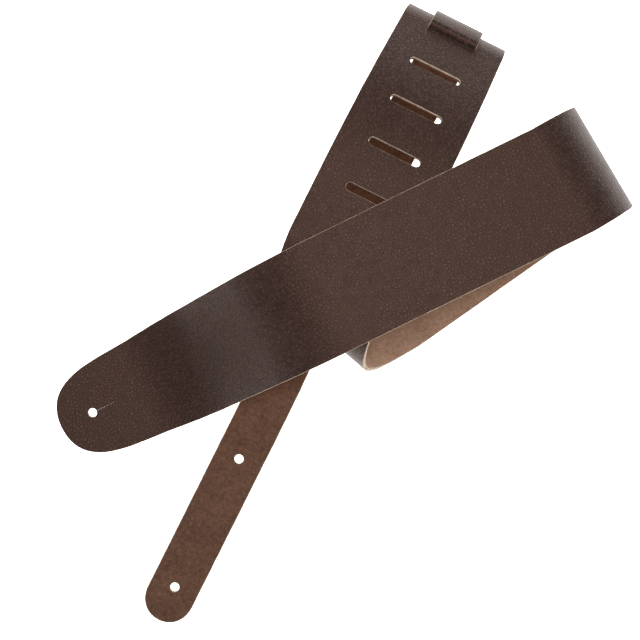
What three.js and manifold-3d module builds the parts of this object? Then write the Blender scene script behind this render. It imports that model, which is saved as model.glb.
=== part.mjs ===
// A leather guitar strap, folded twice and laid on a table. Millimetres, +Z up.
//
// The wide body strap lies on the table at its rounded end, rises over the rest, turns under at the
// right fold, comes back along the table, turns over at the lower bend and runs along +Y to its
// slotted end, which curls down to the table. The narrow tail strap lies under it along Y and is
// woven out and in through the last two slots.
//
// A strip of leather is one flexible piece, so each strip is built as a row of segments with a small
// gap between them, cut where the leather bends or moves.

import * as THREE from 'three';
import { mergeVertices } from 'three/addons/utils/BufferGeometryUtils.js';
import Module from 'manifold-3d';

// ---- driving dimensions ----

const GAP = 0.3;

const BODY_WIDTH = 57.2;
const BODY_THICKNESS = 2.3;
const TAIL_WIDTH = 26.4;
const TAIL_THICKNESS = 2.1;

// Button holes, and the short slit that lets the button's head through the front one.
const BUTTON_HOLE_RADIUS = 2.4;
const SLIT_LENGTH = 11;
const SLIT_WIDTH = 0.6;
const FRONT_HOLE_FROM_TIP = 18.3;
const TAIL_HOLE_FROM_TIP = 19.5;
const TAIL_HOLE_SPACING = 76.2;

// Adjustment slots in the body strap.
const SLOT_LENGTH = 27.6;
const SLOT_WIDTH = 4.2;
const SLOT_PITCH = 24.6;

// Plan angles, in degrees from +X: where the strap heads, and how its two folds lie.
const FRONT_HEADING = 52.7;
const RETURN_HEADING = 241.7;
const SLOTTED_HEADING = 90;
const RIGHT_FOLD_ANGLE = -32.8;
const LOWER_BEND_ANGLE = -14.15;

// Lengths along the middle of the body strap, from its rounded tip on.
const FRONT_END_LENGTH = 44.2;
const RISE_RADIUS = 66;
const RISE_SLOPE = 42;
const FRONT_LENGTH = 122.3;
const RETURN_LENGTH = 105.9;
const SLOTTED_LENGTH = 44.2;
const CURVE_RADIUS = 147;
const CURVE_SLOPE = 27;
const DESCENT_LENGTH = 23.9;
// The curved end is two pieces, parted midway between two slots, this far from the curve's start.
const CURVE_SPLIT = 82;
const CURL_END_SLOPE = 168;

// How far the strap creeps along each fold as it goes round it.
const RIGHT_FOLD_CREEP = 0.8;
const LOWER_BEND_CREEP = -29.5;

// Where the two rounded ends' curve handles lie, as shares of the end's length and half width.
const FRONT_ROUNDING = { along: 0.62, side: 0.95, tip: 0.97 };
const TAIL_ROUNDING = { from: 1.1, along: 0.35, tip: 0.5 };

const FIRST_SLOT_FROM_BEND = 38.6;
const LOWER_BEND_RADIUS = 26.8;

// A level run reaches its new height in this share of its length.
const LEVELLING_SHARE = 0.7;
const SLOT_CUT_DEPTH = 12;

// Heights of the strip's middle surface in each level run.
const TABLE_LEVEL = BODY_THICKNESS / 2;
const RETURN_LEVEL = TAIL_THICKNESS + GAP + BODY_THICKNESS / 2;
const SLOTTED_LEVEL = RETURN_LEVEL + 2 * LOWER_BEND_RADIUS;
const FRONT_LEVEL = SLOTTED_LEVEL + BODY_THICKNESS + GAP;
const RIGHT_FOLD_RADIUS = (FRONT_LEVEL - TABLE_LEVEL) / 2;

// Widths: the round-tipped front end and the slotted end are both narrower than the middle.
const FRONT_END_WIDTH = 52.4;
const FRONT_TAPER_LENGTH = 32;
const CURL_START_WIDTH = 55.6;
const CURL_END_WIDTH = 44;

// Where the front end starts in plan, with the tail strap's centre line on X = 0.
const FRONT_TIP = new THREE.Vector3(-92.9, -112.7, TABLE_LEVEL);

// Tail strap, along Y.
const TAIL_TIP_Y = -181;
const TAIL_SPLIT_Y = -62;
const TAIL_LIFT_START_Y = 126;
const LOOP_GAP = 0.8;
// The loop's legs reach this far past the body strap's suede side, and the tucked end no nearer
// than this to the curl's centre.
const LEG_DEPTH = 1.5;
const TUCKED_END_LENGTH = 15;
const TUCKED_END_RADIUS = 2;
// How strongly the climbing run keeps to the table at its start, and to the slot at its end.
const LIFT_START_PULL = 17;
const LIFT_END_PULL = 16;
// The tail lies this far to the side of the slots' middle, up to the loop.
const TAIL_SIDE_SHIFT = -1.2;

const wasm = await Module();
wasm.setup();

// ---- materials ----

const grainLeather = new THREE.MeshStandardMaterial({ color: 0x4b3a34, roughness: 0.6, metalness: 0 });
const suedeLeather = new THREE.MeshStandardMaterial({ color: 0x604838, roughness: 0.95, metalness: 0 });

const strap = new THREE.Group();

function addPiece(name, geometry, material) {
  const mesh = new THREE.Mesh(geometry, material);
  mesh.name = name;
  strap.add(mesh);
  return mesh;
}

function radians(degrees) {
  return THREE.MathUtils.degToRad(degrees);
}

function planDirection(degrees) {
  return new THREE.Vector3(Math.cos(radians(degrees)), Math.sin(radians(degrees)), 0);
}

// ---- the body strap's path ----
//
// A station is one straight ruling across the strap: its middle point, the plan angle it lies at,
// the slope of the leather there and how much longer than the strap's width the ruling is.

function station(point, angle, slope, reach) {
  return { point, angle, slope, reach };
}

function levelRun(start, length, heading, endAngle, endHeight, squareAngle) {
  const forward = planDirection(heading);
  const at = (part) => {
    const angle = THREE.MathUtils.lerp(start.angle, endAngle, part);
    const point = start.point.clone().addScaledVector(forward, length * part);
    point.z = THREE.MathUtils.lerp(start.point.z, endHeight, Math.min(1, part / LEVELLING_SHARE));
    return station(point, angle, start.slope, 1 / Math.cos(radians(angle - squareAngle)));
  };
  return { at, length };
}

function bend(start, radius, turn, creep) {
  const forward = planDirection(start.angle + 90);
  const along = planDirection(start.angle);
  const side = Math.sign(turn);
  const at = (part) => {
    const slope = start.slope + turn * part;
    const run = side * radius * (Math.sin(radians(slope)) - Math.sin(radians(start.slope)));
    const rise = side * radius * (Math.cos(radians(start.slope)) - Math.cos(radians(slope)));
    const point = start.point.clone();
    point.addScaledVector(forward, run);
    point.addScaledVector(along, creep * part);
    point.z += rise;
    return station(point, start.angle, slope, start.reach);
  };
  return { at, length: radius * Math.abs(radians(turn)) };
}

function slopeRun(start, length) {
  const forward = planDirection(start.angle + 90);
  const at = (part) => {
    const point = start.point.clone();
    point.addScaledVector(forward, length * part * Math.cos(radians(start.slope)));
    point.z += length * part * Math.sin(radians(start.slope));
    return station(point, start.angle, start.slope, start.reach);
  };
  return { at, length };
}

function surfaceNormal(ruling) {
  const forward = planDirection(ruling.angle + 90);
  const normal = forward.multiplyScalar(-Math.sin(radians(ruling.slope)));
  normal.z = Math.cos(radians(ruling.slope));
  return normal;
}

const squareFront = FRONT_HEADING - 90;
const squareReturn = RETURN_HEADING + 90 - 360;
const squareSlotted = SLOTTED_HEADING - 90;
const riseHeight = FRONT_LEVEL - TABLE_LEVEL;
const bendHeight = 2 * RISE_RADIUS * (1 - Math.cos(radians(RISE_SLOPE)));
const slopeLength = (riseHeight - bendHeight) / Math.sin(radians(RISE_SLOPE));

const tip = station(FRONT_TIP, squareFront, 0, 1);
const frontEnd = levelRun(tip, FRONT_END_LENGTH, FRONT_HEADING, squareFront, TABLE_LEVEL, squareFront);
const riseStart = bend(frontEnd.at(1), RISE_RADIUS, RISE_SLOPE, 0);
const riseMiddle = slopeRun(riseStart.at(1), slopeLength);
const riseEnd = bend(riseMiddle.at(1), RISE_RADIUS, -RISE_SLOPE, 0);
const front = levelRun(riseEnd.at(1), FRONT_LENGTH, FRONT_HEADING, RIGHT_FOLD_ANGLE, FRONT_LEVEL, squareFront);
const rightFold = bend(front.at(1), RIGHT_FOLD_RADIUS, -180, RIGHT_FOLD_CREEP);
const returned = levelRun(rightFold.at(1), RETURN_LENGTH, RETURN_HEADING, LOWER_BEND_ANGLE, RETURN_LEVEL,
  squareReturn);
const lowerBend = bend(returned.at(1), LOWER_BEND_RADIUS, -180, LOWER_BEND_CREEP);
const slotted = levelRun(lowerBend.at(1), SLOTTED_LENGTH, SLOTTED_HEADING, squareSlotted, SLOTTED_LEVEL,
  squareSlotted);
const curve = bend(slotted.at(1), CURVE_RADIUS, -CURVE_SLOPE, 0);
const descent = slopeRun(curve.at(1), DESCENT_LENGTH);
const curlDrop = descent.at(1).point.z - TABLE_LEVEL;
const curlRadius = curlDrop / (1 + Math.cos(radians(CURVE_SLOPE)));
const curl = bend(descent.at(1), curlRadius, CURVE_SLOPE - CURL_END_SLOPE, 0);

// ---- solids along the path ----

// Joins several stretches into one, addressed by distance.
function chain(stretches) {
  const length = stretches.reduce((sum, stretch) => sum + stretch.length, 0);
  const at = (part) => {
    let distance = part * length;
    for (const stretch of stretches) {
      if (distance <= stretch.length || stretch === stretches.at(-1)) {
        return stretch.at(Math.min(1, distance / stretch.length));
      }
      distance -= stretch.length;
    }
    return stretches.at(-1).at(1);
  };
  return { at, length };
}

// A strip that follows a stretch: a box whose corners are moved to the rulings.
function ribbon(stretch, steps, from = 0, to = 1, widthAt = () => BODY_WIDTH) {
  const first = from * stretch.length + GAP / 2;
  const last = to * stretch.length - GAP / 2;
  const geometry = new THREE.BoxGeometry(2, BODY_THICKNESS, 1, 1, 1, steps);
  const corners = geometry.attributes.position;
  for (let i = 0; i < corners.count; i += 1) {
    const distance = THREE.MathUtils.lerp(first, last, 0.5 - corners.getZ(i));
    const ruling = stretch.at(distance / stretch.length);
    const across = corners.getX(i) * widthAt(distance) / 2 * ruling.reach;
    const point = ruling.point.clone();
    point.addScaledVector(planDirection(ruling.angle), across);
    point.addScaledVector(surfaceNormal(ruling), corners.getY(i));
    corners.setXYZ(i, point.x, point.y, point.z);
  }
  geometry.computeVertexNormals();
  return geometry;
}

function toManifold(geometry) {
  const bare = geometry.clone();
  bare.deleteAttribute('normal');
  bare.deleteAttribute('uv');
  const merged = mergeVertices(bare, 1e-4);
  return new wasm.Manifold(new wasm.Mesh({
    numProp: 3,
    vertProperties: new Float32Array(merged.attributes.position.array),
    triVerts: new Uint32Array(merged.index.array),
  }));
}

function toGeometry(manifold) {
  const mesh = manifold.getMesh();
  const geometry = new THREE.BufferGeometry();
  geometry.setAttribute('position', new THREE.BufferAttribute(mesh.vertProperties.slice(), 3));
  geometry.setIndex(new THREE.BufferAttribute(mesh.triVerts.slice(), 1));
  geometry.computeVertexNormals();
  return geometry;
}

// A round-ended slot outline, centred, with its length along X.
function slotOutline(length, width) {
  const reach = (length - width) / 2;
  const outline = new THREE.Shape();
  outline.absarc(reach, 0, width / 2, -Math.PI / 2, Math.PI / 2, false);
  outline.absarc(-reach, 0, width / 2, Math.PI / 2, 1.5 * Math.PI, false);
  outline.closePath();
  return outline;
}

function slotCutter(ruling) {
  const depth = SLOT_CUT_DEPTH;
  const cutter = new THREE.ExtrudeGeometry(slotOutline(SLOT_LENGTH, SLOT_WIDTH), {
    depth, bevelEnabled: false, curveSegments: 5,
  });
  cutter.translate(0, 0, -depth / 2);
  const across = planDirection(squareSlotted);
  const normal = surfaceNormal(ruling);
  const forward = new THREE.Vector3().crossVectors(normal, across);
  cutter.applyMatrix4(new THREE.Matrix4().makeBasis(across, forward, normal));
  cutter.translate(ruling.point.x, ruling.point.y, ruling.point.z);
  return cutter;
}

// The slots are a fixed distance apart along the leather, from the lower bend to the free end.
const slottedEnd = chain([slotted, curve, descent, curl]);

function cutSlots(geometry) {
  let solid = toManifold(geometry);
  for (let distance = FIRST_SLOT_FROM_BEND; distance < slottedEnd.length; distance += SLOT_PITCH) {
    const ruling = slottedEnd.at(distance / slottedEnd.length);
    solid = solid.subtract(toManifold(slotCutter(ruling)));
  }
  return toGeometry(solid);
}

// ---- body strap ----

function frontEndOutline() {
  const half = FRONT_END_WIDTH / 2;
  const length = FRONT_END_LENGTH - GAP / 2;
  const outline = new THREE.Shape();
  outline.moveTo(length, -half);
  outline.lineTo(length, half);
  const { along, side, tip } = FRONT_ROUNDING;
  outline.bezierCurveTo(length * along, half * side, 0, half * tip, 0, 0);
  outline.bezierCurveTo(0, -half * tip, length * along, -half * side, length, -half);

  const hole = new THREE.Path();
  const slitReach = Math.asin(SLIT_WIDTH / 2 / BUTTON_HOLE_RADIUS);
  const slitEnd = FRONT_HOLE_FROM_TIP + BUTTON_HOLE_RADIUS + SLIT_LENGTH;
  hole.moveTo(slitEnd, -SLIT_WIDTH / 2);
  hole.lineTo(slitEnd, SLIT_WIDTH / 2);
  hole.absarc(FRONT_HOLE_FROM_TIP, 0, BUTTON_HOLE_RADIUS, slitReach, 2 * Math.PI - slitReach, false);
  hole.closePath();
  outline.holes.push(hole);
  return outline;
}

function buildFrontEnd() {
  const geometry = new THREE.ExtrudeGeometry(frontEndOutline(), {
    depth: BODY_THICKNESS, bevelEnabled: false, curveSegments: 20,
  });
  geometry.rotateZ(radians(FRONT_HEADING));
  geometry.translate(FRONT_TIP.x, FRONT_TIP.y, 0);
  return geometry;
}

const rise = chain([riseStart, riseMiddle, riseEnd]);
const riseWidth = (distance) => THREE.MathUtils.lerp(
  FRONT_END_WIDTH, BODY_WIDTH, Math.min(1, distance / FRONT_TAPER_LENGTH));

// The curved end, and its width by distance from the curve's start.
const curvedEnd = chain([curve, descent, curl]);
const curlFrom = curve.length + descent.length;
const curvedWidth = (distance) => (distance < curlFrom
  ? THREE.MathUtils.lerp(BODY_WIDTH, CURL_START_WIDTH, (distance / curlFrom) ** 2)
  : THREE.MathUtils.lerp(CURL_START_WIDTH, CURL_END_WIDTH, ((distance - curlFrom) / curl.length) ** 2));
const curvedSplit = CURVE_SPLIT / curvedEnd.length;

addPiece('front_end', buildFrontEnd(), grainLeather);
addPiece('front_rise', ribbon(rise, 24, 0, 1, riseWidth), grainLeather);
addPiece('front_section', ribbon(front, 6), grainLeather);
addPiece('right_fold_upper', ribbon(rightFold, 10, 0, 0.5), grainLeather);
addPiece('right_fold_lower', ribbon(rightFold, 10, 0.5, 1), grainLeather);
addPiece('return_section', ribbon(returned, 12), suedeLeather);
addPiece('lower_bend_under', ribbon(lowerBend, 10, 0, 0.5), suedeLeather);
addPiece('lower_bend_over', ribbon(lowerBend, 10, 0.5, 1), grainLeather);
addPiece('slotted_section', cutSlots(ribbon(slotted, 4)), grainLeather);
addPiece('slotted_curve', cutSlots(ribbon(curvedEnd, 22, 0, curvedSplit, curvedWidth)), grainLeather);
addPiece('slotted_end', cutSlots(ribbon(curvedEnd, 28, curvedSplit, 1, curvedWidth)), grainLeather);

// ---- tail strap ----

function tailEndOutline() {
  const half = TAIL_WIDTH / 2;
  const length = TAIL_SPLIT_Y - GAP / 2 - TAIL_TIP_Y;
  const outline = new THREE.Shape();
  outline.moveTo(half, length);
  outline.lineTo(-half, length);
  const { from, along, tip } = TAIL_ROUNDING;
  outline.lineTo(-half, half * from);
  outline.bezierCurveTo(-half, half * along, -half * tip, 0, 0, 0);
  outline.bezierCurveTo(half * tip, 0, half, half * along, half, half * from);
  outline.closePath();
  for (const distance of [TAIL_HOLE_FROM_TIP, TAIL_HOLE_FROM_TIP + TAIL_HOLE_SPACING]) {
    const hole = new THREE.Path();
    hole.absarc(0, distance, BUTTON_HOLE_RADIUS, 0, 2 * Math.PI, false);
    outline.holes.push(hole);
  }
  return outline;
}

function buildTailEnd() {
  const geometry = new THREE.ExtrudeGeometry(tailEndOutline(), {
    depth: TAIL_THICKNESS, bevelEnabled: false, curveSegments: 20,
  });
  geometry.translate(TAIL_SIDE_SHIFT, TAIL_TIP_Y, 0);
  return geometry;
}

// Turns a side outline, drawn with Y along and Z up, into a strip as wide as the tail.
function extrudeAcross(outline) {
  const geometry = new THREE.ExtrudeGeometry(outline, {
    depth: TAIL_WIDTH, bevelEnabled: false, curveSegments: 24,
  });
  geometry.translate(0, 0, -TAIL_WIDTH / 2);
  geometry.rotateX(Math.PI / 2);
  geometry.rotateZ(Math.PI / 2);
  return geometry;
}

// The curl's centre, which the tail's loop goes round, and the slopes of the two slots it uses.
const curlStart = descent.at(1);
const curlCentreY = curlStart.point.y - curlRadius * Math.sin(radians(CURVE_SLOPE));
const curlCentreZ = curlStart.point.z - curlRadius * Math.cos(radians(CURVE_SLOPE));
const slotCount = Math.floor((slottedEnd.length - FIRST_SLOT_FROM_BEND) / SLOT_PITCH) + 1;
const lastSlot = FIRST_SLOT_FROM_BEND + (slotCount - 1) * SLOT_PITCH;
const lastSlope = CURVE_SLOPE
  + THREE.MathUtils.radToDeg((lastSlot - slotted.length - curlFrom) / curlRadius);
const innerSlotSlope = CURVE_SLOPE
  + THREE.MathUtils.radToDeg((lastSlot - SLOT_PITCH - slotted.length - curlFrom) / curlRadius);

// A point at a radius from the curl's centre, where the leather's slope is the one given.
function curlPoint(radius, slope) {
  return new THREE.Vector2(
    curlCentreY + radius * Math.sin(radians(slope)),
    curlCentreZ + radius * Math.cos(radians(slope)),
  );
}

const loopInner = curlRadius + BODY_THICKNESS / 2 + LOOP_GAP;
const loopOuter = loopInner + TAIL_THICKNESS;

// The loop is a staple: an arc outside the body strap with one leg in through each slot.
function loopOutline() {
  const legTurn = (radius) => THREE.MathUtils.radToDeg(Math.asin(TAIL_THICKNESS / 2 / radius));
  const throughRadius = curlRadius - BODY_THICKNESS / 2 - LEG_DEPTH;
  const tuckedRadius = Math.max(throughRadius - TUCKED_END_LENGTH, TUCKED_END_RADIUS);
  const outline = new THREE.Shape();
  const start = curlPoint(tuckedRadius, innerSlotSlope - legTurn(tuckedRadius));
  outline.moveTo(start.x, start.y);
  const outside = (slope) => Math.PI / 2 - radians(slope);
  outline.absarc(curlCentreY, curlCentreZ, loopOuter, outside(innerSlotSlope - legTurn(loopOuter)),
    outside(lastSlope + legTurn(loopOuter)), true);
  const foot = curlPoint(throughRadius, lastSlope + legTurn(throughRadius));
  outline.lineTo(foot.x, foot.y);
  const footInside = curlPoint(throughRadius, lastSlope - legTurn(throughRadius));
  outline.lineTo(footInside.x, footInside.y);
  outline.absarc(curlCentreY, curlCentreZ, loopInner, outside(lastSlope - legTurn(loopInner)),
    outside(innerSlotSlope + legTurn(loopInner)), false);
  const end = curlPoint(tuckedRadius, innerSlotSlope + legTurn(tuckedRadius));
  outline.lineTo(end.x, end.y);
  outline.closePath();
  return outline;
}

// From the table the run climbs over the body strap's free end to the leg in the last slot.
function tailRunOutline() {
  const half = TAIL_THICKNESS / 2;
  const meet = curlPoint(curlRadius - BODY_THICKNESS / 2 - LEG_DEPTH - GAP, lastSlope);
  const outward = new THREE.Vector2(Math.sin(radians(lastSlope)), Math.cos(radians(lastSlope)));
  const start = new THREE.Vector2(TAIL_LIFT_START_Y, half);
  const route = new THREE.CubicBezierCurve(
    start,
    new THREE.Vector2(start.x + LIFT_START_PULL, half),
    meet.clone().addScaledVector(outward, -LIFT_END_PULL),
    meet,
  );
  const steps = 18;
  const upper = [];
  const lower = [];
  for (let i = 0; i <= steps; i += 1) {
    const point = route.getPoint(i / steps);
    const tangent = route.getTangent(i / steps);
    const normal = new THREE.Vector2(-tangent.y, tangent.x).multiplyScalar(half);
    upper.push(point.clone().add(normal));
    lower.push(point.clone().sub(normal));
  }
  const outline = new THREE.Shape();
  outline.moveTo(TAIL_SPLIT_Y + GAP / 2, 0);
  for (const point of lower) outline.lineTo(point.x, point.y);
  for (const point of upper.reverse()) outline.lineTo(point.x, point.y);
  outline.lineTo(TAIL_SPLIT_Y + GAP / 2, TAIL_THICKNESS);
  outline.closePath();
  return outline;
}

addPiece('tail_end', buildTailEnd(), suedeLeather);
addPiece('tail_run', extrudeAcross(tailRunOutline()).translate(TAIL_SIDE_SHIFT, 0, 0), suedeLeather);
addPiece('tail_loop', extrudeAcross(loopOutline()), grainLeather);

// ---- place the origin at the middle of the footprint, on the table ----

strap.updateMatrixWorld(true);
const bounds = new THREE.Box3().setFromObject(strap, true);
const middle = bounds.getCenter(new THREE.Vector3());
strap.position.set(-middle.x, -middle.y, -bounds.min.z);

export default strap;
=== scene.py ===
"""A brown leather guitar strap, folded twice: four leather pieces, their finishes, light and camera."""

import math
from bisect import bisect_right
from collections import namedtuple

import bpy
from mathutils import Matrix, Vector, geometry, kdtree, noise


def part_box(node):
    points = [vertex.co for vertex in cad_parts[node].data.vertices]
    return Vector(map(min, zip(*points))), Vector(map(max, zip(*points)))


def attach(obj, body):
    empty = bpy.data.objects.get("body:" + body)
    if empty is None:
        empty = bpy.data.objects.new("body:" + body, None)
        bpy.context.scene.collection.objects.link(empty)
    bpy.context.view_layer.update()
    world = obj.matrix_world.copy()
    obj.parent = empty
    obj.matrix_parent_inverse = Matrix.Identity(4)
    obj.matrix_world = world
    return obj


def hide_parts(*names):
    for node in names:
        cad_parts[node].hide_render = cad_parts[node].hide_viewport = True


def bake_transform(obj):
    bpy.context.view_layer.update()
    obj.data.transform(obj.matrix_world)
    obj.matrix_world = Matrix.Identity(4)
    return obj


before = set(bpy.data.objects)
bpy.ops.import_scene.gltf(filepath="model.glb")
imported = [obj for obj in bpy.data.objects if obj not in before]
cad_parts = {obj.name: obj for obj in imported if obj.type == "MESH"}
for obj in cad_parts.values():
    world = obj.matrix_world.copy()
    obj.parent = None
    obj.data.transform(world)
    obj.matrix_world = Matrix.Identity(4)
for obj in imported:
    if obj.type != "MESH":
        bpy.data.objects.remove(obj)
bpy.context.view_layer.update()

# ---- the strap's sizes, in millimetres, as in the CAD model ----

MM = 0.001
GAP = 0.3
BODY_WIDTH = 57.2
BODY_THICKNESS = 2.3
TAIL_WIDTH = 26.4
TAIL_THICKNESS = 2.1
BUTTON_HOLE_RADIUS = 2.4
SLIT_LENGTH = 11
FRONT_HOLE_FROM_TIP = 18.3
TAIL_HOLE_FROM_TIP = 19.5
TAIL_HOLE_SPACING = 76.2
SLOT_LENGTH = 27.6
SLOT_WIDTH = 4.2
SLOT_PITCH = 24.6
FIRST_SLOT_FROM_BEND = 38.6
FRONT_HEADING = 52.7
RETURN_HEADING = 241.7
SLOTTED_HEADING = 90
RIGHT_FOLD_ANGLE = -32.8
LOWER_BEND_ANGLE = -14.15
FRONT_END_LENGTH = 44.2
RISE_RADIUS = 66
RISE_SLOPE = 42
FRONT_LENGTH = 122.3
RETURN_LENGTH = 105.9
SLOTTED_LENGTH = 44.2
CURVE_RADIUS = 147
CURVE_SLOPE = 27
DESCENT_LENGTH = 23.9
CURL_END_SLOPE = 168
RIGHT_FOLD_CREEP = 0.8
LOWER_BEND_CREEP = -29.5
LOWER_BEND_RADIUS = 26.8
LEVELLING_SHARE = 0.7
TABLE_LEVEL = BODY_THICKNESS / 2
RETURN_LEVEL = TAIL_THICKNESS + GAP + BODY_THICKNESS / 2
SLOTTED_LEVEL = RETURN_LEVEL + 2 * LOWER_BEND_RADIUS
FRONT_LEVEL = SLOTTED_LEVEL + BODY_THICKNESS + GAP
RIGHT_FOLD_RADIUS = (FRONT_LEVEL - TABLE_LEVEL) / 2
FRONT_END_WIDTH = 52.4
FRONT_TAPER_LENGTH = 32
CURL_START_WIDTH = 55.6
CURL_END_WIDTH = 44
FRONT_TIP = (-92.9, -112.7)
TAIL_TIP_Y = -181
TAIL_LIFT_START_Y = 126
TAIL_SIDE_SHIFT = -1.2
LOOP_GAP = 0.8
LOOP_CORNER = 1.9
LEG_DEPTH = 1.5
TUCKED_END_RADIUS = 2
LIFT_START_PULL = 17
LIFT_END_PULL = 16

# Where the two rounded ends' curve handles lie, as shares of the end's length and half width.
FRONT_ROUNDING_ALONG = 0.62
FRONT_ROUNDING_SIDE = 0.95
FRONT_ROUNDING_TIP = 0.97
TAIL_ROUNDING_FROM = 1.1
TAIL_ROUNDING_ALONG = 0.35
TAIL_ROUNDING_TIP = 0.5

# ---- sizes that only the leather's look has, in millimetres ----

# A knife's slit, nearly closed, that narrows by this share towards its end.
SLIT_WIDTH = 0.05
SLIT_NARROWING = 0.75

# How much of the front end's taper is a rounded corner.
TAPER_CORNER = 0.4

# The tail bows aside between two distances from its tip, and comes back to the slots' middle
# between two more.
TAIL_BOW = -1.5
TAIL_BOWS = (130, 330)
TAIL_STRAIGHTENS = (290, 335)

# A cut edge is rounded to this radius, and pale down to this depth below the rounding; below that, the
# walls inside the slots and the slit are painted dark, as painted shade.
RIM_RADIUS = 0.45
SLOT_RIM_RADIUS = 0.25
SLIT_RIM_RADIUS = 0.14
PALE_DEPTH = 0.7

# The slotted end's two corners are rounded, and no row of the sides comes nearer to them than this.
END_CORNER = 2.5
CORNER_ROOM = 0.5

# A hand cut's slow and quick waver: how far it strays, and how often, per millimetre.
SLOW_WAVER = 0.11
SLOW_WAVERS_PER_MM = 0.11
QUICK_WAVER = 0.05
QUICK_WAVERS_PER_MM = 0.5
QUICK_SEED_SHIFT = 7
STEADY_POINTS = 8

# The body strap is three pieces, seamed in the front run's middle and this far past the right fold.
RETURN_SEAM_FROM_FOLD = 8

# How finely the leather is divided: columns across it, and the distances between its rows.
BODY_COLUMNS = 23
TAIL_COLUMNS = 11
TAIL_SPACING = 2.4
LOOP_SPACING = 0.7
# The tail's rim follows its rows from this distance on, past its rounded end.
TAIL_SIDE_FROM = 16
# A point inside the leather keeps this share of its row's spacing from the border.
CLEAR_SHARE = 0.45
CUT_TOLERANCE = 1e-5

FRONT_TIP_STEPS = 46
TAIL_TIP_STEPS = 26
HOLE_STEPS = 40
SLIT_HOLE_STEPS = 44
SLIT_STEPS = 22
SLOT_STEPS = 12
CORNER_STEPS = 6
BODY_END_STEPS = 18
TAIL_END_STEPS = 10

# Where the part's own origin lies in the shared frame, from the tail end's box.
tail_low, tail_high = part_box("tail_end")
ORIGIN = Vector((
    (tail_low[0] + tail_high[0]) / 2 - TAIL_SIDE_SHIFT * MM,
    tail_low[1] - TAIL_TIP_Y * MM,
    0,
))

# ---- the body strap's path: straight rulings across it, by distance from the front tip ----

Ruling = namedtuple("Ruling", "point angle slope reach")
Stretch = namedtuple("Stretch", "at length")


def plan(degrees):
    return Vector((math.cos(math.radians(degrees)), math.sin(math.radians(degrees)), 0))


def mix(low, high, share):
    return low + (high - low) * share


def clamp(share):
    return min(1, max(0, share))


def smooth(share):
    share = clamp(share)
    return share * share * (3 - 2 * share)


def share_of(span, distance):
    return (distance - span[0]) / (span[1] - span[0])


def bezier(points, share):
    rest = 1 - share
    weights = (rest ** 3, 3 * rest * rest * share, 3 * rest * share * share, share ** 3)
    return Vector((
        sum(w * point[0] for w, point in zip(weights, points)),
        sum(w * point[1] for w, point in zip(weights, points)),
    ))


def level_run(start, length, heading, end_angle, end_height, square):
    forward = plan(heading)

    def at(part):
        angle = mix(start.angle, end_angle, part)
        point = start.point + forward * (length * part)
        point.z = mix(start.point.z, end_height, smooth(part / LEVELLING_SHARE))
        return Ruling(point, angle, start.slope, 1 / math.cos(math.radians(angle - square)))

    return Stretch(at, length)


def bend(start, radius, turn, creep=0):
    side = math.copysign(1, turn)
    first = math.radians(start.slope)

    def at(part):
        slope = start.slope + turn * part
        run = side * radius * (math.sin(math.radians(slope)) - math.sin(first))
        lift = side * radius * (math.cos(first) - math.cos(math.radians(slope)))
        point = start.point + plan(start.angle + 90) * run + plan(start.angle) * (creep * part)
        point.z += lift
        return Ruling(point, start.angle, slope, start.reach)

    return Stretch(at, radius * abs(math.radians(turn)))


def slope_run(start, length):
    step = plan(start.angle + 90) * math.cos(math.radians(start.slope))
    step.z = math.sin(math.radians(start.slope))
    return Stretch(lambda part: start._replace(point=start.point + step * (length * part)), length)


square_front = FRONT_HEADING - 90
square_return = RETURN_HEADING + 90 - 360
square_slotted = SLOTTED_HEADING - 90
bend_height = 2 * RISE_RADIUS * (1 - math.cos(math.radians(RISE_SLOPE)))
slope_length = (FRONT_LEVEL - TABLE_LEVEL - bend_height) / math.sin(math.radians(RISE_SLOPE))

tip = Ruling(Vector((*FRONT_TIP, TABLE_LEVEL)), square_front, 0, 1)
front_end = level_run(tip, FRONT_END_LENGTH, FRONT_HEADING, square_front, TABLE_LEVEL, square_front)
rise_start = bend(front_end.at(1), RISE_RADIUS, RISE_SLOPE)
rise_middle = slope_run(rise_start.at(1), slope_length)
rise_end = bend(rise_middle.at(1), RISE_RADIUS, -RISE_SLOPE)
front = level_run(
    rise_end.at(1), FRONT_LENGTH, FRONT_HEADING, RIGHT_FOLD_ANGLE, FRONT_LEVEL, square_front
)
right_fold = bend(front.at(1), RIGHT_FOLD_RADIUS, -180, RIGHT_FOLD_CREEP)
returned = level_run(
    right_fold.at(1), RETURN_LENGTH, RETURN_HEADING, LOWER_BEND_ANGLE, RETURN_LEVEL, square_return
)
lower_bend = bend(returned.at(1), LOWER_BEND_RADIUS, -180, LOWER_BEND_CREEP)
slotted = level_run(
    lower_bend.at(1), SLOTTED_LENGTH, SLOTTED_HEADING, square_slotted, SLOTTED_LEVEL, square_slotted
)
curve = bend(slotted.at(1), CURVE_RADIUS, -CURVE_SLOPE)
descent = slope_run(curve.at(1), DESCENT_LENGTH)
curl_radius = (descent.at(1).point.z - TABLE_LEVEL) / (1 + math.cos(math.radians(CURVE_SLOPE)))
curl = bend(descent.at(1), curl_radius, CURVE_SLOPE - CURL_END_SLOPE)

# Each stretch with how far apart its rows of vertices are.
BODY_STRETCHES = (
    (front_end, 2.2), (rise_start, 2.0), (rise_middle, 2.4), (rise_end, 2.0), (front, 2.6),
    (right_fold, 1.15), (returned, 2.6), (lower_bend, 1.15), (slotted, 2.0), (curve, 1.8),
    (descent, 1.8), (curl, 0.8),
)


def distance_to(stretch):
    """How far along the strap a stretch starts."""
    total = 0
    for each, _ in BODY_STRETCHES:
        if each is stretch:
            return total
        total += each.length
    return total


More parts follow.
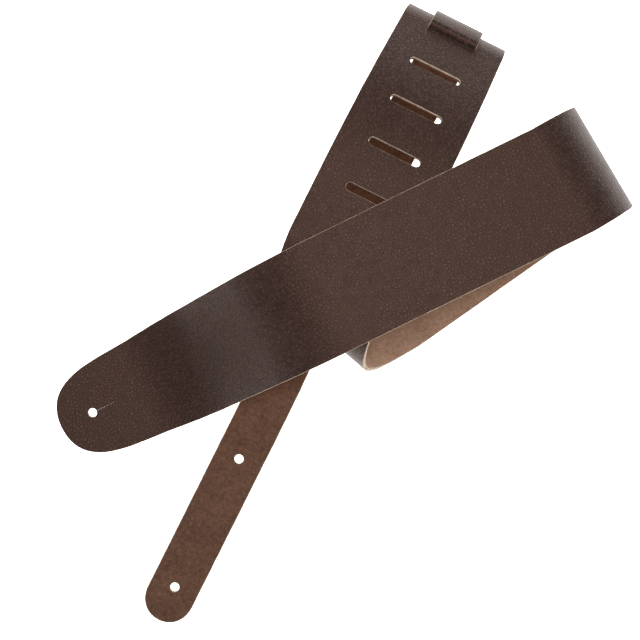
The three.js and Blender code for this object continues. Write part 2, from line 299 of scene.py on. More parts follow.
BODY_LENGTH = sum(each.length for each, _ in BODY_STRETCHES)
RISE_FROM = distance_to(rise_start)
SLOTTED_FROM = distance_to(slotted)
CURVE_FROM = distance_to(curve)
CURL_FROM = distance_to(curl)
FOLD_SEAM = distance_to(right_fold) - front.length / 2
RETURN_SEAM = distance_to(returned) + RETURN_SEAM_FROM_FOLD


def body_ruling(distance):
    for stretch, _ in BODY_STRETCHES:
        if distance <= stretch.length or stretch is curl:
            return stretch.at(distance / stretch.length)
        distance -= stretch.length


def body_frame(distance):
    """The ruling at a distance, with its directions across, along and out of the grain side."""
    ruling = body_ruling(distance)
    slope = math.radians(ruling.slope)
    ahead = plan(ruling.angle + 90)
    along = ahead * math.cos(slope) + Vector((0, 0, math.sin(slope)))
    out = Vector((0, 0, math.cos(slope))) - ahead * math.sin(slope)
    return ruling.point, plan(ruling.angle) * ruling.reach, along, out


def rounded_taper(share):
    """Falls from 1 to 0 as share goes from 0 to 1, with its lower corner rounded off."""
    if share < 1 - TAPER_CORNER:
        return 1 - share
    return max(0, 1 + TAPER_CORNER - share) ** 2 / (4 * TAPER_CORNER)


def front_end_curve(share):
    """The front end's rounded edge from its widest place to its tip, as (half width, distance)."""
    half = FRONT_END_WIDTH / 2
    length = FRONT_END_LENGTH
    side_handle = (FRONT_ROUNDING_SIDE * half, FRONT_ROUNDING_ALONG * length)
    return bezier(((half, length), side_handle, (FRONT_ROUNDING_TIP * half, 0), (0, 0)), share)


def half_width_on(curve_at, distance):
    """The half width at a distance on a rounded end, found on its curve by halving."""
    halvings = 24
    low, high = 0, 1
    for _ in range(halvings):
        share = (low + high) / 2
        if curve_at(share).y > distance:
            low = share
        else:
            high = share
    return curve_at(low).x


def body_half_width(distance):
    if distance < RISE_FROM:
        return half_width_on(front_end_curve, distance)
    if distance < SLOTTED_FROM:
        narrower = rounded_taper((distance - RISE_FROM) / FRONT_TAPER_LENGTH)
        return mix(BODY_WIDTH, FRONT_END_WIDTH, narrower) / 2
    if distance < CURL_FROM:
        share = max(0, distance - CURVE_FROM) / (CURL_FROM - CURVE_FROM)
        return mix(BODY_WIDTH, CURL_START_WIDTH, share * share) / 2
    share = (distance - CURL_FROM) / curl.length
    return mix(CURL_START_WIDTH, CURL_END_WIDTH, share * share) / 2


def body_rows(first, last):
    rows = [first]
    start = 0
    for stretch, spacing in BODY_STRETCHES:
        end = start + stretch.length
        low, high = max(first, start), min(last, end)
        if high > low:
            count = max(1, round((high - low) / spacing))
            rows += [mix(low, high, i / count) for i in range(1, count + 1)]
        start = end
    return rows


def edge_points(rows, side):
    return [Vector((side * body_half_width(distance), distance)) for distance in rows]


def mirrored(points):
    return [Vector((-point.x, point.y)) for point in points]


# ---- the tail's path, in the plane across X: from its rounded end to the end tucked into the curl ----

curl_centre = Vector((
    descent.at(1).point.y - curl_radius * math.sin(math.radians(CURVE_SLOPE)),
    descent.at(1).point.z - curl_radius * math.cos(math.radians(CURVE_SLOPE)),
))
slot_count = int((BODY_LENGTH - SLOTTED_FROM - FIRST_SLOT_FROM_BEND) // SLOT_PITCH) + 1
last_slot = SLOTTED_FROM + FIRST_SLOT_FROM_BEND + (slot_count - 1) * SLOT_PITCH
last_slope = CURVE_SLOPE + math.degrees((last_slot - CURL_FROM) / curl_radius)
inner_slope = CURVE_SLOPE + math.degrees((last_slot - SLOT_PITCH - CURL_FROM) / curl_radius)
LOOP_RADIUS = curl_radius + BODY_THICKNESS / 2 + LOOP_GAP + TAIL_THICKNESS / 2

FLAT_STEPS = 120
LIFT_STEPS = 36
TUCK_STEPS = 8
CORNER_STEP_LENGTH = 0.35
LOOP_STEP_LENGTH = 1.0
# Degrees between the loop's arc and each of its corners, so that no point comes twice.
ARC_CLEARANCE = 1


def spoke(slope):
    """Straight out from the curl's centre, where its leather has this slope."""
    return Vector((math.sin(math.radians(slope)), math.cos(math.radians(slope))))


def arc_points(centre, radius, first, last, step):
    count = max(2, math.ceil(abs(math.radians(last - first)) * radius / step))
    return [centre + spoke(mix(first, last, i / count)) * radius for i in range(count + 1)]


def tail_route():
    """Flat along the table, up to the last slot, out and over the curl, and in by the slot before."""
    level = TAIL_THICKNESS / 2
    route = [
        Vector((mix(TAIL_TIP_Y, TAIL_LIFT_START_Y, i / FLAT_STEPS), level)) for i in range(FLAT_STEPS + 1)
    ]
    meet = curl_centre + spoke(last_slope) * (curl_radius - BODY_THICKNESS / 2 - LEG_DEPTH - GAP)
    lift = (
        route[-1], route[-1] + Vector((LIFT_START_PULL, 0)),
        meet - spoke(last_slope) * LIFT_END_PULL, meet,
    )
    route += [bezier(lift, i / LIFT_STEPS) for i in range(1, LIFT_STEPS + 1)]
    corner_place = LOOP_RADIUS - LOOP_CORNER
    corner_turn = math.degrees(math.asin(LOOP_CORNER / corner_place))
    out_slope = last_slope - corner_turn
    in_slope = inner_slope + corner_turn
    out_corner = curl_centre + spoke(out_slope) * corner_place
    in_corner = curl_centre + spoke(in_slope) * corner_place
    route += arc_points(out_corner, LOOP_CORNER, last_slope + 90, out_slope, CORNER_STEP_LENGTH)
    route += arc_points(
        curl_centre, LOOP_RADIUS, out_slope - ARC_CLEARANCE, in_slope + ARC_CLEARANCE, LOOP_STEP_LENGTH
    )
    route += arc_points(in_corner, LOOP_CORNER, in_slope, inner_slope - 90, CORNER_STEP_LENGTH)
    start = (route[-1] - curl_centre).length
    route += [
        curl_centre + spoke(inner_slope) * mix(start, TUCKED_END_RADIUS, i / TUCK_STEPS)
        for i in range(1, TUCK_STEPS + 1)
    ]
    return route


def route_distances(route):
    distances = [0]
    for before, after in zip(route, route[1:]):
        distances.append(distances[-1] + (after - before).length)
    return distances


def route_slopes(route):
    """The slope at each point of a route, in radians, with no jump of a whole turn between two."""
    slopes = []
    for i in range(len(route)):
        step = route[min(i + 1, len(route) - 1)] - route[max(i - 1, 0)]
        angle = math.atan2(step.y, step.x)
        while slopes and angle < slopes[-1] - math.pi:
            angle += 2 * math.pi
        while slopes and angle > slopes[-1] + math.pi:
            angle -= 2 * math.pi
        slopes.append(angle)
    return slopes


TAIL_ROUTE = tail_route()
TAIL_DISTANCES = route_distances(TAIL_ROUTE)
TAIL_SLOPES = route_slopes(TAIL_ROUTE)
TAIL_LENGTH = TAIL_DISTANCES[-1]


def tail_frame(distance):
    """The tail's middle at a distance, with its directions across, along and out of the grain side."""
    low = min(max(bisect_right(TAIL_DISTANCES, distance) - 1, 0), len(TAIL_DISTANCES) - 2)
    share = share_of(TAIL_DISTANCES[low:low + 2], distance)
    place = TAIL_ROUTE[low].lerp(TAIL_ROUTE[low + 1], share)
    slope = mix(TAIL_SLOPES[low], TAIL_SLOPES[low + 1], share)
    along = Vector((0, math.cos(slope), math.sin(slope)))
    out = Vector((0, math.sin(slope), -math.cos(slope)))
    bow = TAIL_BOW * math.sin(math.pi * clamp(share_of(TAIL_BOWS, distance)))
    shift = TAIL_SIDE_SHIFT * (1 - smooth(share_of(TAIL_STRAIGHTENS, distance)))
    return Vector((bow + shift, place.x, place.y)), Vector((-1, 0, 0)), along, out


def tail_tip_curve(share):
    """The tail's rounded edge from its widest place to its tip, as (half width, distance)."""
    half = TAIL_WIDTH / 2
    side = (half, TAIL_ROUNDING_FROM * half)
    side_handle = (half, TAIL_ROUNDING_ALONG * half)
    return bezier((side, side_handle, (TAIL_ROUNDING_TIP * half, 0), (0, 0)), share)


def tail_half_width(distance):
    if distance < TAIL_ROUNDING_FROM * TAIL_WIDTH / 2:
        return half_width_on(tail_tip_curve, distance)
    return TAIL_WIDTH / 2


# ---- holes in the flat leather, as loops of (across, along) ----


def round_loop(centre, radius):
    return [
        centre + Vector((math.cos(turn), -math.sin(turn))) * radius
        for turn in (2 * math.pi * i / HOLE_STEPS for i in range(HOLE_STEPS))
    ]


def slit_hole_loop():
    """The front button hole, with the slit that runs from it towards the strap's middle."""
    opening = math.asin(SLIT_WIDTH / 2 / BUTTON_HOLE_RADIUS)
    loop = []
    for i in range(SLIT_HOLE_STEPS + 1):
        turn = math.pi / 2 - opening - (2 * math.pi - 2 * opening) * i / SLIT_HOLE_STEPS
        loop.append(Vector((
            BUTTON_HOLE_RADIUS * math.cos(turn), FRONT_HOLE_FROM_TIP + BUTTON_HOLE_RADIUS * math.sin(turn),
        )))
    start = loop[-1].y
    end = FRONT_HOLE_FROM_TIP + BUTTON_HOLE_RADIUS + SLIT_LENGTH
    left_side = [
        Vector((-SLIT_WIDTH / 2 * (1 - SLIT_NARROWING * share ** 3), mix(start, end, share)))
        for share in (i / SLIT_STEPS for i in range(1, SLIT_STEPS))
    ]
    return loop + left_side + [Vector((0, end))] + mirrored(reversed(left_side))


def square_on_slotted(point):
    """Moves a point from its true distance on the slotted stretch to the ruling that passes through it."""
    rounds = 8
    distance = point.y - SLOTTED_FROM
    share = distance / slotted.length
    if share >= 1:
        return point
    for _ in range(rounds):
        skew = mix(LOWER_BEND_ANGLE - square_slotted, 0, min(1, share))
        share = (distance - point.x * math.tan(math.radians(skew))) / slotted.length
    return Vector((point.x, SLOTTED_FROM + min(1, share) * slotted.length))


def slot_loop(middle):
    """A slot with round ends across the strap, at this distance along it."""
    reach = (SLOT_LENGTH - SLOT_WIDTH) / 2
    loop = []
    for side in (1, -1):
        for i in range(SLOT_STEPS + 1):
            turn = side * math.pi / 2 - math.pi * i / SLOT_STEPS
            rounded = Vector((math.cos(turn), math.sin(turn))) * SLOT_WIDTH / 2
            loop.append(Vector((side * reach, middle)) + rounded)
        for i in range(1, SLOT_STEPS):
            across = mix(side * reach, -side * reach, i / SLOT_STEPS)
            loop.append(Vector((across, middle - side * SLOT_WIDTH / 2)))
    return [square_on_slotted(point) for point in loop]


def slot_loops():
    first = SLOTTED_FROM + FIRST_SLOT_FROM_BEND
    return [slot_loop(first + number * SLOT_PITCH) for number in range(slot_count)]


# ---- flat leather cut out, then laid along its path ----

# A strap's leather: its half width and its frame by distance, and how it is divided and finished.
Strap = namedtuple("Strap", "half_width frame_at thickness columns pattern_shift finishes")
# A rim is a cut edge: its points, whether they close, how rounded it is and the finish of its wall.
Rim = namedtuple("Rim", "points closed radius wall")
# A seam runs straight from the end of one rim to the start of another, given by their numbers.
Seam = namedtuple("Seam", "before after points")

# Places in a strap's finishes; the last is painted shade, dark on the walls inside the slots and the slit.
GRAIN, SUEDE, EDGE, SHADED_WALL = range(4)

# The turns of a rounded edge's rings of vertices, in degrees above level.
RIM_TURNS = (62, 32, 0)


def outward(points, closed):
    """The direction out of the leather at each point of a rim, which has the leather on its left."""
    directions = []
    count = len(points)
    for i in range(count):
        total = Vector((0, 0))
        if closed or i > 0:
            edge = points[i] - points[i - 1]
            total += Vector((edge.y, -edge.x)).normalized()
        if closed or i < count - 1:
            edge = points[(i + 1) % count] - points[i]
            total += Vector((edge.y, -edge.x)).normalized()
        directions.append(total.normalized())
    return directions


def within(loop, point):
    inside = False
    for i in range(len(loop)):
        a, b = loop[i - 1], loop[i]
        if (a.y > point.y) != (b.y > point.y):
            if point.x < a.x + (b.x - a.x) * (point.y - a.y) / (b.y - a.y):
                inside = not inside
    return inside


def hand_cut(points, seed, fixed_ends):
    """Gives a straight cut the slight waver of a knife."""
    count = len(points)
    moved = []
    for i, (point, way) in enumerate(zip(points, outward(points, not fixed_ends))):
        slow = Vector((point.x * SLOW_WAVERS_PER_MM, point.y * SLOW_WAVERS_PER_MM, seed))
        quick = Vector((
            point.x * QUICK_WAVERS_PER_MM, point.y * QUICK_WAVERS_PER_MM, seed + QUICK_SEED_SHIFT,
        ))
        waver = SLOW_WAVER * noise.noise(slow)
        waver += QUICK_WAVER * noise.noise(quick)
        if fixed_ends:
            waver *= min(1, i / STEADY_POINTS, (count - 1 - i) / STEADY_POINTS)
        moved.append(point + way * waver)
    return moved


def seam_points(distance, rightward):
    width = body_half_width(distance) - RIM_RADIUS
    shares = [2 * i / BODY_COLUMNS - 1 for i in range(1, BODY_COLUMNS)]
    return [Vector((width * share * (1 if rightward else -1), distance)) for share in shares]


def border_of(rims, seams):
    """
    The points and edges round the flat leather, each rim's places among the points with its
    directions outward, and each seam's places.
    """
    points = []
    edges = []
    rings = []
    for rim in rims:
        ways = outward(rim.points, rim.closed)
        places = range(len(points), len(points) + len(rim.points))
        points += [point - way * rim.radius for point, way in zip(rim.points, ways)]
        edges += list(zip(places, places[1:]))
        if rim.closed:
            edges.append((places[-1], places[0]))
        rings.append((places, ways))
    chains = []
    for seam in seams:
        between = range(len(points), len(points) + len(seam.points))
        chain = [rings[seam.before][0][-1], *between, rings[seam.after][0][0]]
        points += seam.points
        edges += list(zip(chain, chain[1:]))
        chains.append(chain)
    return points, edges, rings, chains


def loops_of(points, edges):
    """The closed loops that the border's edges make: the outline first, then the holes."""
    following = dict(edges)
    left = set(range(len(points)))
    loops = []
    while left:
        at = min(left)
        loop = []
        while at in left:
            left.discard(at)
            loop.append(points[at])
            at = following[at]
        loops.append(loop)
    return loops


def fill_points(border, loops, strap, rows):
    """Rows of points across the leather, clear of its border and its holes."""
    tree = kdtree.KDTree(len(border))
    for i, point in enumerate(border):
        tree.insert((point.x, point.y, 0), i)
    tree.balance()
    holes = []
    for loop in loops[1:]:
        middle = sum(loop, Vector((0, 0))) / len(loop)
        holes.append((loop, middle, max((point - middle).length for point in loop)))
    points = []
    for row, distance in enumerate(rows):
        width = strap.half_width(distance)
        row_room = rows[min(row + 1, len(rows) - 1)] - rows[max(row - 1, 0)]
        clearance = CLEAR_SHARE * min(2 * width / strap.columns, row_room)
        for column in range(1, strap.columns):
            point = Vector((width * (2 * column / strap.columns - 1), distance))
            if tree.find((point.x, point.y, 0))[2] < clearance:
                continue
            if any(
                (point - middle).length < reach and within(loop, point) for loop, middle, reach in holes
            ):
                continue
            points.append(point)
    return points


def triangulate(points, edges, border_count, loops):
    """The flat leather's vertices and triangles, and the vertex that each given point became."""
    found = geometry.delaunay_2d_cdt(points, edges, [], 0, CUT_TOLERANCE, True)
    vertices, _, triangles, origins = found[:4]
    became = {origin: i for i, ids in enumerate(origins) for origin in ids}
    on_border = [any(origin < border_count for origin in ids) for ids in origins]
    kept = []
    for triangle in triangles:
        a, b, c = (vertices[i] for i in triangle)
        if all(on_border[i] for i in triangle):
            centre = (a + b + c) / 3
            if not within(loops[0], centre) or any(within(loop, centre) for loop in loops[1:]):
                continue
        kept.append(triangle[::-1] if (b - a).cross(c - a) < 0 else triangle)
    return vertices, kept, became


class Laid:
    """Vertices laid along a strap's path, each with its normal and its place in the flat pattern."""

    def __init__(self, strap):
        self.strap = strap
        self.spots = []
        self.normals = []
        self.places = []

    def add(self, across, distance, depth, way):
        middle, side, along, out = self.strap.frame_at(distance)
        self.spots.append((middle + side * across + out * depth) * MM + ORIGIN)
        self.normals.append((side.normalized() * way[0] + along * way[1] + out * way[2]).normalized())
        self.places.append(((across * side.length + self.strap.pattern_shift) * MM, distance * MM))
        return len(self.spots) - 1

    def rings_round(self, rim, ways):
        """Rings of vertices down a cut edge: rounded at the top, a pale depth, rounded at the bottom."""
        level = self.strap.thickness / 2 - rim.radius
        turns = [(turn, level) for turn in RIM_TURNS]
        turns.append((0, level - PALE_DEPTH))
        turns += [(-turn, -level) for turn in reversed(RIM_TURNS)]
        rings = []
        for turn, height in turns:
            lean = math.cos(math.radians(turn))
            lift = math.sin(math.radians(turn))
            ring = []
            for point, way in zip(rim.points, ways):
                spot = point - way * (rim.radius * (1 - lean))
                ring.append(self.add(
                    spot.x, spot.y, height + rim.radius * lift, (way.x * lean, way.y * lean, lift)
                ))
            rings.append(ring)
        return rings

    def piece(self, name, faces):
        mesh = bpy.data.meshes.new(name)
        mesh.from_pydata(self.spots, [], [corners for corners, _ in faces])
        for finish in self.strap.finishes:
            mesh.materials.append(finish)
        mesh.polygons.foreach_set("material_index", [finish for _, finish in faces])
        mesh.polygons.foreach_set("use_smooth", [True] * len(faces))
        pattern = mesh.uv_layers.new(name="leather")
        for loop in mesh.loops:
            pattern.data[loop.index].uv = self.places[loop.vertex_index]
        mesh.normals_split_custom_set_from_vertices(self.normals)
        mesh.update()
        piece = bpy.data.objects.new(name, mesh)
        bpy.context.scene.collection.objects.link(piece)
        return piece


def rim_faces(rings, rim):
    """The faces between a cut edge's rings, from the grain side down."""
    faces = []
    count = len(rim.points)
    for number, (upper, lower) in enumerate(zip(rings, rings[1:])):
        finish = GRAIN if number == 0 else EDGE if number <= len(RIM_TURNS) else rim.wall
        for i in range(count if rim.closed else count - 1):
            j = (i + 1) % count
            faces.append(((upper[i], lower[i], lower[j], upper[j]), finish))
    return faces


def cut_leather(name, strap, rims, seams, rows):
    """
    Triangulates the flat leather between its rims and seams, gives it two faces and rounded edges,
    lays it along its path, and caps its seams.
    """
    border, edges, border_rings, chains = border_of(rims, seams)
    loops = loops_of(border, edges)
    points = border + fill_points(border, loops, strap, rows)
    vertices, triangles, became = triangulate(points, edges, len(border), loops)

    laid = Laid(strap)
    half = strap.thickness / 2
    top = [laid.add(point.x, point.y, half, (0, 0, 1)) for point in vertices]
    bottom = [laid.add(point.x, point.y, -half, (0, 0, -1)) for point in vertices]
    faces = [(tuple(top[i] for i in triangle), GRAIN) for triangle in triangles]
    faces += [(tuple(bottom[i] for i in reversed(triangle)), SUEDE) for triangle in triangles]
    walls = []
    for rim, (places, ways) in zip(rims, border_rings):
        wall = laid.rings_round(rim, ways)
        upper = [top[became[i]] for i in places]
        lower = [bottom[became[i]] for i in places]
        faces += rim_faces([upper, *wall, lower], rim)
        walls.append(wall)
    for seam, chain in zip(seams, chains):
        cap = [top[became[i]] for i in chain]
        cap += [ring[0] for ring in walls[seam.after]]
        cap += [bottom[became[i]] for i in reversed(chain)]
        cap += [ring[-1] for ring in reversed(walls[seam.before])]
        faces.append((tuple(reversed(cap)), EDGE))
    return laid.piece(name, faces)


# ---- finishes ----


def srgb(red, green, blue):
    def linear(value):
        value /= 255
        return value / 12.92 if value <= 0.04045 else ((value + 0.055) / 1.055) ** 2.4
    return (linear(red), linear(green), linear(blue), 1)


class Finish:
    """A material whose patterns follow the leather's own flat coordinates, in metres."""

    def __init__(self, name):
        self.material = bpy.data.materials.new(name)
        self.material.use_nodes = True
        self.tree = self.material.node_tree
        self.shader = self.tree.nodes["Principled BSDF"]
        self.place = self.node("ShaderNodeUVMap", uv_map="leather").outputs[0]

    def node(self, kind, **settings):
        node = self.tree.nodes.new(kind)
        for key, value in settings.items():
            setattr(node, key, value)
        return node

    def link(self, value, socket):
        if hasattr(value, "is_linked"):
            self.tree.links.new(value, socket)
        else:
            socket.default_value = value

    def stretched(self, across, along):
        node = self.node("ShaderNodeMapping")
        self.link(self.place, node.inputs["Vector"])
        node.inputs["Scale"].default_value = (across, along, 1)
        return node.outputs[0]

    def noise(self, per_metre, detail, roughness, place=None, distortion=0.0):
        node = self.node("ShaderNodeTexNoise")
        self.link(self.place if place is None else place, node.inputs["Vector"])
        node.inputs["Scale"].default_value = per_metre
        node.inputs["Detail"].default_value = detail
        node.inputs["Roughness"].default_value = roughness
        node.inputs["Distortion"].default_value = distortion
        return node.outputs[0]

    def cells(self, per_metre, place):
        """The distance to the nearest border of a pattern of cells."""
        node = self.node("ShaderNodeTexVoronoi", feature="DISTANCE_TO_EDGE")
        self.link(place, node.inputs["Vector"])
        node.inputs["Scale"].default_value = per_metre
        return node.outputs["Distance"]

    def wobbled(self, per_metre, amount):
        """The flat coordinates, pushed about by noise, so that a pattern's cells aren't regular."""
        node = self.node("ShaderNodeTexNoise")
        self.link(self.place, node.inputs["Vector"])
        node.inputs["Scale"].default_value = per_metre
        centred = self.node("ShaderNodeVectorMath", operation="SUBTRACT")
        self.link(node.outputs["Color"], centred.inputs[0])
        centred.inputs[1].default_value = (0.5, 0.5, 0.5)
        added = self.node("ShaderNodeVectorMath", operation="ADD")
        self.link(self.place, added.inputs[0])
        self.link(self.scaled(centred.outputs[0], amount), added.inputs[1])
        return added.outputs[0]

    def scaled(self, vector, amount):
        node = self.node("ShaderNodeVectorMath", operation="SCALE")
        self.link(vector, node.inputs[0])
        self.link(amount, node.inputs["Scale"])
        return node.outputs[0]

    def ranged(self, value, span, target=(0, 1)):
        """Moves a value from one span of numbers to another, and keeps it inside."""
        node = self.node("ShaderNodeMapRange")
        self.link(value, node.inputs["Value"])
        for key, number in zip(("From Min", "From Max", "To Min", "To Max"), (*span, *target)):
            node.inputs[key].default_value = number
        return node.outputs[0]

    def sum_of(self, *shares):
        """Adds up values, each given with its share."""
        total = None
        for value, share in shares:
            if share != 1:
                node = self.node("ShaderNodeMath", operation="MULTIPLY")
                self.link(value, node.inputs[0])
                self.link(share, node.inputs[1])
                value = node.outputs[0]
            if total is None:
                total = value
                continue
            node = self.node("ShaderNodeMath", operation="ADD")
            self.link(total, node.inputs[0])
            self.link(value, node.inputs[1])
            total = node.outputs[0]
        return total

    def blend(self, share, low, high):
        node = self.node("ShaderNodeMix", data_type="RGBA")
        self.link(share, node.inputs["Factor"])
        self.link(low, node.inputs["A"])
        self.link(high, node.inputs["B"])
        return node.outputs["Result"]

    def bumps(self, *heights):
        """Each height with its depth in metres, the coarsest first."""
        normal = None
        for height, depth in heights:
            node = self.node("ShaderNodeBump")
            self.link(height, node.inputs["Height"])
            node.inputs["Distance"].default_value = depth
            node.inputs["Strength"].default_value = 1
            if normal is not None:
                self.link(normal, node.inputs["Normal"])
            normal = node.outputs[0]
        self.set("Normal", normal)

    def set(self, name, value):
        self.link(value, self.shader.inputs[name])


def grain_finish(name, dark, light):
    """The smooth side: small irregular pebbles, painted darker in their creases and lighter on their tops
    as painted shade and painted highlight, and a satin shine.
    """
    leather = Finish(name)
    cells = leather.cells(per_metre=640, place=leather.wobbled(per_metre=700, amount=0.0009))
    pebbles = leather.ranged(cells, (0.02, 0.3))
    fine = leather.noise(per_metre=2600, detail=4, roughness=0.6)
    patches = leather.noise(per_metre=55, detail=4, roughness=0.55)
    waves = leather.noise(per_metre=85, detail=3, roughness=0.5)
    tone = leather.ranged(leather.sum_of((patches, 1), (fine, 0.2)), (0.35, 0.85))
    # The pebbles' creases are painted dark and their tops light: painted shade and painted highlight over
    # the grain's own pattern.
    pebble_shade_and_highlight = leather.ranged(pebbles, (0, 1), (0.42, 1.14))
    leather.set("Base Color", leather.scaled(leather.blend(tone, dark, light), pebble_shade_and_highlight))
    shine = leather.ranged(leather.sum_of((fine, 1), (patches, 1)), (0.7, 1.3), (0.44, 0.54))
    leather.set("Roughness", shine)
    leather.set("IOR", 1.5)
    leather.set("Specular Tint", (0.7, 0.42, 0.33, 1))
    leather.bumps((waves, 0.0002), (pebbles, 0.0001), (fine, 0.000012))
    return leather.material


def suede_finish(name, dark, light, pale):
    """The flesh side: a matt nap of fibres, with pale tips."""
    leather = Finish(name)
    fibres = leather.noise(
        per_metre=1500, detail=5, roughness=0.7, place=leather.stretched(1, 0.55), distortion=0.6
    )
    nap = leather.noise(per_metre=420, detail=4, roughness=0.6, distortion=0.4)
    patches = leather.noise(per_metre=70, detail=4, roughness=0.6)
    tone = leather.sum_of((nap, 0.5), (patches, 0.35), (fibres, 0.75))
    colour = leather.blend(leather.ranged(tone, (0.6, 1.0)), dark, light)
    tips = leather.ranged(fibres, (0.58, 0.78), (0, 0.35))
    leather.set("Base Color", leather.blend(tips, colour, pale))
    leather.set("Roughness", leather.ranged(fibres, (0.3, 0.7), (0.88, 1.0)))
    leather.set("Specular IOR Level", 0.2)
    leather.set("Sheen Weight", 0.25)
    leather.set("Sheen Roughness", 0.5)
    leather.set("Sheen Tint", pale)
    leather.bumps((nap, 0.0004), (fibres, 0.00022))
    return leather.material


def edge_finish(name, dark, light):
    """Raw cut leather: short fibres in patches."""
    leather = Finish(name)
    fibres = leather.noise(per_metre=1900, detail=5, roughness=0.7)
    patches = leather.noise(per_metre=260, detail=3, roughness=0.6)
    tone = leather.ranged(leather.sum_of((fibres, 0.6), (patches, 0.4)), (0.36, 0.64))
    leather.set("Base Color", leather.blend(tone, dark, light))
    leather.set("Roughness", leather.ranged(fibres, (0.3, 0.7), (0.85, 1.0)))
    leather.set("Specular IOR Level", 0.2)
    leather.bumps((fibres, 0.0003))
    return leather.material


grain = grain_finish("brown_grain", srgb(54, 39, 35), srgb(64, 47, 42))
# The body strap's suede is painted lighter than the tail's: painted light on its open return run.
lit_body_suede = suede_finish("lit_body_suede", srgb(124, 95, 77), srgb(168, 138, 117), srgb(196, 174, 154))
tail_suede = suede_finish("tail_suede", srgb(72, 47, 36), srgb(116, 85, 68), srgb(150, 121, 101))
# The walls inside the slots and the slit are painted dark below their pale tops: painted shade in the cuts.
shaded_cut_wall = edge_finish("slot_wall_painted_shade", srgb(58, 38, 29), srgb(96, 68, 53))
cut_edge = edge_finish("cut_edge", srgb(128, 104, 84), srgb(206, 190, 168))

# The tail's pattern lies this far aside of the body strap's, so that the two never look alike.
TAIL_PATTERN_SHIFT = 900
BODY_STRAP = Strap(
    body_half_width, body_frame, BODY_THICKNESS, BODY_COLUMNS, 0,
    (grain, lit_body_suede, cut_edge, shaded_cut_wall),
)
TAIL_STRAP = Strap(
    tail_half_width, tail_frame, TAIL_THICKNESS, TAIL_COLUMNS, TAIL_PATTERN_SHIFT,
    (grain, tail_suede, cut_edge, shaded_cut_wall),
)

# ---- the four leather pieces, each hand cut with a seed of its own ----


def front_leather():
    rows = body_rows(0, FOLD_SEAM)
    straight = [distance for distance in rows if distance > FRONT_END_LENGTH]
    tip_curve = [front_end_curve(i / FRONT_TIP_STEPS) for i in range(FRONT_TIP_STEPS + 1)]
    outline = edge_points(straight[::-1], -1) + mirrored(tip_curve)
    outline += tip_curve[-2::-1] + edge_points(straight, 1)
    rims = [
        Rim(hand_cut(outline, 1, True), False, RIM_RADIUS, EDGE),
        Rim(slit_hole_loop(), True, SLIT_RIM_RADIUS, SHADED_WALL),
    ]
    seams = [Seam(0, 0, seam_points(FOLD_SEAM, False))]
    return cut_leather("front_leather", BODY_STRAP, rims, seams, rows[1:-1])


def fold_leather():
    rows = body_rows(FOLD_SEAM, RETURN_SEAM)
    rims = [
        Rim(hand_cut(edge_points(rows, 1), 2, True), False, RIM_RADIUS, EDGE),
        Rim(hand_cut(edge_points(rows[::-1], -1), 3, True), False, RIM_RADIUS, EDGE),
    ]
    seams = [Seam(0, 1, seam_points(RETURN_SEAM, False)), Seam(1, 0, seam_points(FOLD_SEAM, True))]
    return cut_leather("fold_leather", BODY_STRAP, rims, seams, rows[1:-1])


def slotted_leather():
    rows = body_rows(RETURN_SEAM, BODY_LENGTH)
    side_rows = [distance for distance in rows if distance < BODY_LENGTH - END_CORNER - CORNER_ROOM]
    across = body_half_width(BODY_LENGTH) - END_CORNER
    along = BODY_LENGTH - END_CORNER
    corner = [
        Vector((across + END_CORNER * math.cos(turn), along + END_CORNER * math.sin(turn)))
        for turn in (math.pi / 2 * i / CORNER_STEPS for i in range(CORNER_STEPS + 1))
    ]
    end_line = [
        Vector((mix(across, -across, i / BODY_END_STEPS), BODY_LENGTH)) for i in range(1, BODY_END_STEPS)
    ]
    outline = edge_points(side_rows, 1) + corner + end_line
    outline += mirrored(corner[::-1]) + edge_points(side_rows[::-1], -1)
    rims = [Rim(hand_cut(outline, 4, True), False, RIM_RADIUS, EDGE)]
    rims += [Rim(loop, True, SLOT_RIM_RADIUS, SHADED_WALL) for loop in slot_loops()]
    seams = [Seam(0, 0, seam_points(RETURN_SEAM, True))]
    return cut_leather("slotted_leather", BODY_STRAP, rims, seams, rows[1:-1])


def tail_leather():
    lift_from = TAIL_LIFT_START_Y - TAIL_TIP_Y
    flat_count = round(lift_from / TAIL_SPACING)
    loop_count = round((TAIL_LENGTH - lift_from) / LOOP_SPACING)
    rows = [lift_from * i / flat_count for i in range(1, flat_count)]
    rows += [mix(lift_from, TAIL_LENGTH, i / loop_count) for i in range(loop_count)]
    tip_curve = [tail_tip_curve(i / TAIL_TIP_STEPS) for i in range(TAIL_TIP_STEPS + 1)]
    side = [Vector((tail_half_width(distance), distance)) for distance in rows if distance > TAIL_SIDE_FROM]
    end_line = [
        Vector((mix(TAIL_WIDTH, -TAIL_WIDTH, i / TAIL_END_STEPS) / 2, TAIL_LENGTH))
        for i in range(TAIL_END_STEPS + 1)
    ]
    outline = tip_curve[::-1] + side + end_line + mirrored(side[::-1]) + mirrored(tip_curve[:-1])
    rims = [Rim(hand_cut(outline, 5, False), True, RIM_RADIUS, EDGE)]
    for distance in (TAIL_HOLE_FROM_TIP, TAIL_HOLE_FROM_TIP + TAIL_HOLE_SPACING):
        rims.append(Rim(round_loop(Vector((0, distance)), BUTTON_HOLE_RADIUS), True, SLOT_RIM_RADIUS, EDGE))
    return cut_leather("tail_leather", TAIL_STRAP, rims, [], rows)


front_piece = front_leather()
fold_piece = fold_leather()
slotted_piece = slotted_leather()
tail_piece = tail_leather()

# ---- what each piece stands for ----

# Where the front end meets its rise, in metres.
flex_at = body_frame(FRONT_END_LENGTH)[0] * MM + ORIGIN
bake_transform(front_piece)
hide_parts("front_end", "front_rise", "front_section")

# The middle of the right fold, in metres.
fold_at = right_fold.at(0.5).point * MM + ORIGIN
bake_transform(fold_piece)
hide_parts("right_fold_upper", "right_fold_lower")

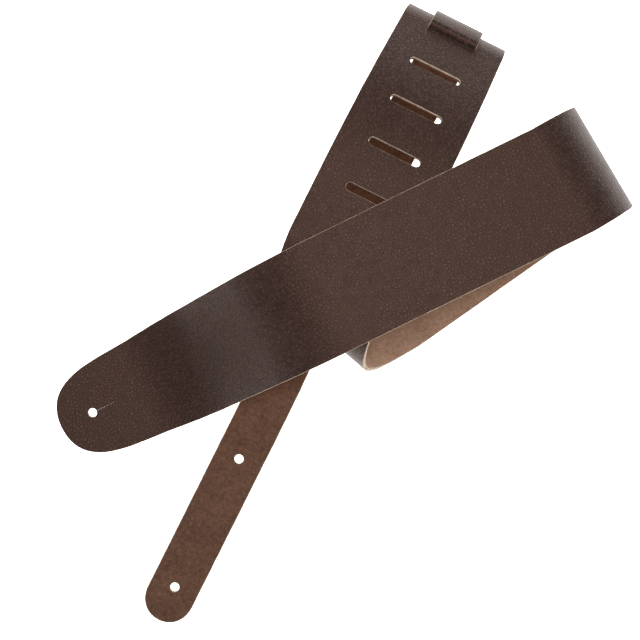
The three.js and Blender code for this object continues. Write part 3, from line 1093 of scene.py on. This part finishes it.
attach(slotted_piece, "body_strap")
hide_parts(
    "return_section", "lower_bend_under", "lower_bend_over",
    "slotted_section", "slotted_curve", "slotted_end",
)

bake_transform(tail_piece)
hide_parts("tail_end", "tail_run", "tail_loop")


# ---- floor, light and camera, in metres ----

FLOOR_SIZE = 6
FLOOR_COLOUR = (0.85, 0.85, 0.85, 1)
FLOOR_ROUGHNESS = 0.9
FLOOR_GLOW = 2.0
WORLD_STRENGTH = 0.3
WHITE = (1, 1, 1, 1)
CAMERA_AT = Vector((-0.00415, 0.00548, 0.600))
CAMERA_UP = Vector((-0.448, 0.894, 0)).normalized()
CAMERA_CLIP = 0.01
# How much of the table's width the picture covers.
FRAME_WIDTH = 0.3411


def lit_white_table():
    """A pale floor that glows, as a light table does, so that it shows no shadows."""
    mesh = bpy.data.meshes.new("floor")
    corners = [(x * FLOOR_SIZE / 2, y * FLOOR_SIZE / 2, 0) for x, y in ((-1, -1), (1, -1), (1, 1), (-1, 1))]
    mesh.from_pydata(corners, [], [(0, 1, 2, 3)])
    floor = bpy.data.objects.new("floor", mesh)
    bpy.context.scene.collection.objects.link(floor)
    finish = bpy.data.materials.new("lit_white_table")
    finish.use_nodes = True
    shader = finish.node_tree.nodes["Principled BSDF"]
    shader.inputs["Base Color"].default_value = FLOOR_COLOUR
    shader.inputs["Roughness"].default_value = FLOOR_ROUGHNESS
    shader.inputs["Emission Color"].default_value = WHITE
    shader.inputs["Emission Strength"].default_value = FLOOR_GLOW
    mesh.materials.append(finish)
    return floor


def area_light(name, place, aim, size, watts):
    data = bpy.data.lights.new(name, "AREA")
    data.shape = "DISK"
    data.size = size
    data.energy = watts
    light = bpy.data.objects.new(name, data)
    light.location = place
    light.rotation_euler = (Vector(aim) - Vector(place)).to_track_quat("-Z", "Y").to_euler()
    bpy.context.scene.collection.objects.link(light)


def add_camera():
    data = bpy.data.cameras.new("camera")
    data.lens = data.sensor_width * CAMERA_AT.z / FRAME_WIDTH
    data.clip_start = CAMERA_CLIP
    camera = bpy.data.objects.new("camera", data)
    back = Vector((0, 0, 1))
    turned = Matrix((CAMERA_UP.cross(back), CAMERA_UP, back)).transposed().to_4x4()
    camera.matrix_world = Matrix.Translation(CAMERA_AT) @ turned
    bpy.context.scene.collection.objects.link(camera)
    bpy.context.scene.camera = camera


lit_white_table()

world = bpy.data.worlds.new("studio")
bpy.context.scene.world = world
world.use_nodes = True
world.node_tree.nodes["Background"].inputs["Color"].default_value = WHITE
world.node_tree.nodes["Background"].inputs["Strength"].default_value = WORLD_STRENGTH

area_light("overhead", place=(-0.018, 0.09, 1.5), aim=(0, 0.02, 0), size=0.7, watts=15.5)
area_light("far_side", place=(-0.3, 1.3, -0.15), aim=(0, 0.16, 0.03), size=0.9, watts=15)

add_camera()
bpy.context.scene.view_settings.view_transform = "Standard"
